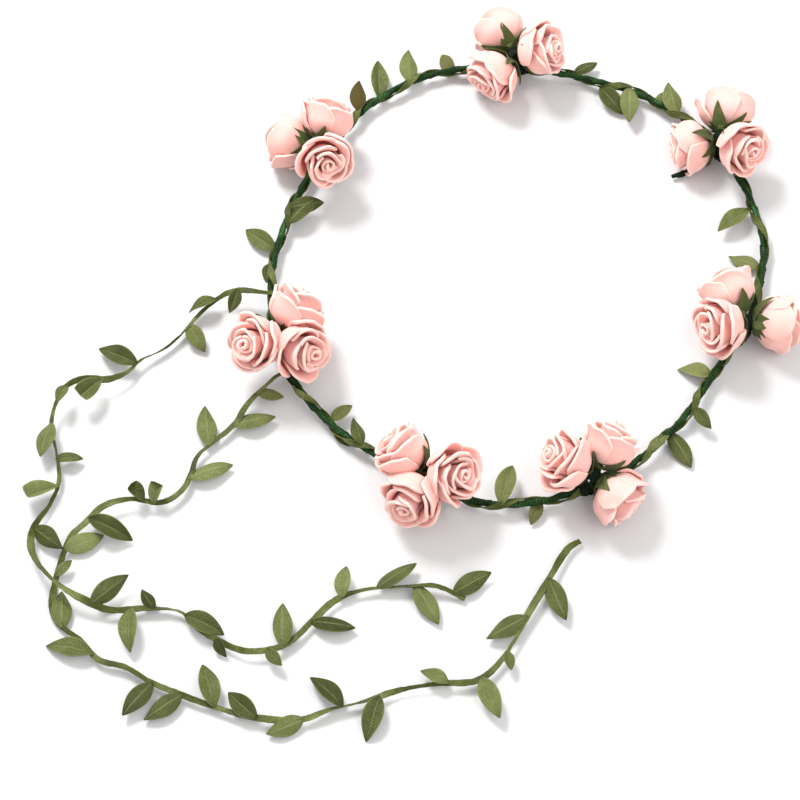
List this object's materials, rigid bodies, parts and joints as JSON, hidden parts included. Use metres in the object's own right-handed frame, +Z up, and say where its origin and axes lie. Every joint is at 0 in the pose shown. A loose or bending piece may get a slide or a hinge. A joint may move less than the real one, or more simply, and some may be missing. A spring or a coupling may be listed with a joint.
{
  "type": "flower crown",
  "caption": "Wire-hoop flower crown: trios of small foam roses bound to a taped hoop, wound with leafy ribbon whose two ends trail free.",
  "frame": {"origin": "point on the table under the middle of the hoop; the hoop's own line lies 5.2 mm above it", "axes": "+Z up, square to the plane of the hoop; -Y points to the front of the crown, the side on which the free ribbon ends come round"},
  "size_m": [0.2877, 0.2991, 0.0316],
  "materials": {
    "steel_wire": "drawn wire, covered except at its cut ends",
    "floral_tape": "waxed crepe tape, wound and creased, dark green",
    "leaf_ribbon": "woven satin ribbon with stitched-on leaves, olive green",
    "rose_foam": "matt sheet foam, pale at the petal rims and coral in the folds",
    "calyx_paper": "matt pressed paper, dark green"
  },
  "bodies": {
    "hoop": {"hoop_wire": "steel_wire", "hoop_tape": "floral_tape", "hoop_garland": "leaf_ribbon", "tail_upper": "leaf_ribbon", "tail_lower": "leaf_ribbon"},
    "trio_back": {"rose_back_1": "rose_foam", "calyx_back_1": "calyx_paper", "rose_back_2": "rose_foam", "calyx_back_2": "calyx_paper", "rose_back_3": "rose_foam", "calyx_back_3": "calyx_paper", "stems_back": "floral_tape"},
    "trio_back_right": {"rose_back_right_1": "rose_foam", "calyx_back_right_1": "calyx_paper", "rose_back_right_2": "rose_foam", "calyx_back_right_2": "calyx_paper", "rose_back_right_3": "rose_foam", "calyx_back_right_3": "calyx_paper", "stems_back_right": "floral_tape"},
    "trio_right": {"rose_right_1": "rose_foam", "calyx_right_1": "calyx_paper", "rose_right_2": "rose_foam", "calyx_right_2": "calyx_paper", "rose_right_3": "rose_foam", "calyx_right_3": "calyx_paper", "stems_right": "floral_tape"},
    "trio_front_right": {"rose_front_right_1": "rose_foam", "calyx_front_right_1": "calyx_paper", "rose_front_right_2": "rose_foam", "calyx_front_right_2": "calyx_paper", "rose_front_right_3": "rose_foam", "calyx_front_right_3": "calyx_paper", "stems_front_right": "floral_tape"},
    "trio_front_left": {"rose_front_left_1": "rose_foam", "calyx_front_left_1": "calyx_paper", "rose_front_left_2": "rose_foam", "calyx_front_left_2": "calyx_paper", "rose_front_left_3": "rose_foam", "calyx_front_left_3": "calyx_paper", "stems_front_left": "floral_tape"},
    "trio_left": {"rose_left_1": "rose_foam", "calyx_left_1": "calyx_paper", "rose_left_2": "rose_foam", "calyx_left_2": "calyx_paper", "rose_left_3": "rose_foam", "calyx_left_3": "calyx_paper", "stems_left": "floral_tape"},
    "trio_back_left": {"rose_back_left_1": "rose_foam", "calyx_back_left_1": "calyx_paper", "rose_back_left_2": "rose_foam", "calyx_back_left_2": "calyx_paper", "rose_back_left_3": "rose_foam", "calyx_back_left_3": "calyx_paper", "stems_back_left": "floral_tape"}
  },
  "joints": [
    {"name": "turn_back", "type": "hinge", "parent": "hoop", "child": "trio_back", "pos_m": [0.00161, 0.09216, 0.00519], "axis": [-0.997, 0.0771, 0], "range_deg": [-15, 15]},
    {"name": "turn_back_right", "type": "hinge", "parent": "hoop", "child": "trio_back_right", "pos_m": [0.07945, 0.05359, 0.00519], "axis": [-0.5615, 0.8275, 0], "range_deg": [-15, 15]},
    {"name": "turn_right", "type": "hinge", "parent": "hoop", "child": "trio_right", "pos_m": [0.08321, -0.02704, 0.00519], "axis": [0.5127, 0.8586, 0], "range_deg": [-15, 15]},
    {"name": "turn_front_right", "type": "hinge", "parent": "hoop", "child": "trio_front_right", "pos_m": [0.02566, -0.08949, 0.00519], "axis": [0.8989, 0.4381, 0], "range_deg": [-15, 15]},
    {"name": "turn_front_left", "type": "hinge", "parent": "hoop", "child": "trio_front_left", "pos_m": [-0.03245, -0.08916, 0.00519], "axis": [0.8761, -0.4821, 0], "range_deg": [-15, 15]},
    {"name": "turn_left", "type": "hinge", "parent": "hoop", "child": "trio_left", "pos_m": [-0.08619, -0.03482, 0.00519], "axis": [0.3114, -0.9503, 0], "range_deg": [-15, 15]},
    {"name": "turn_back_left", "type": "hinge", "parent": "hoop", "child": "trio_back_left", "pos_m": [-0.07407, 0.0481, 0.00519], "axis": [-0.4718, -0.8817, 0], "range_deg": [-15, 15]}
  ]
}
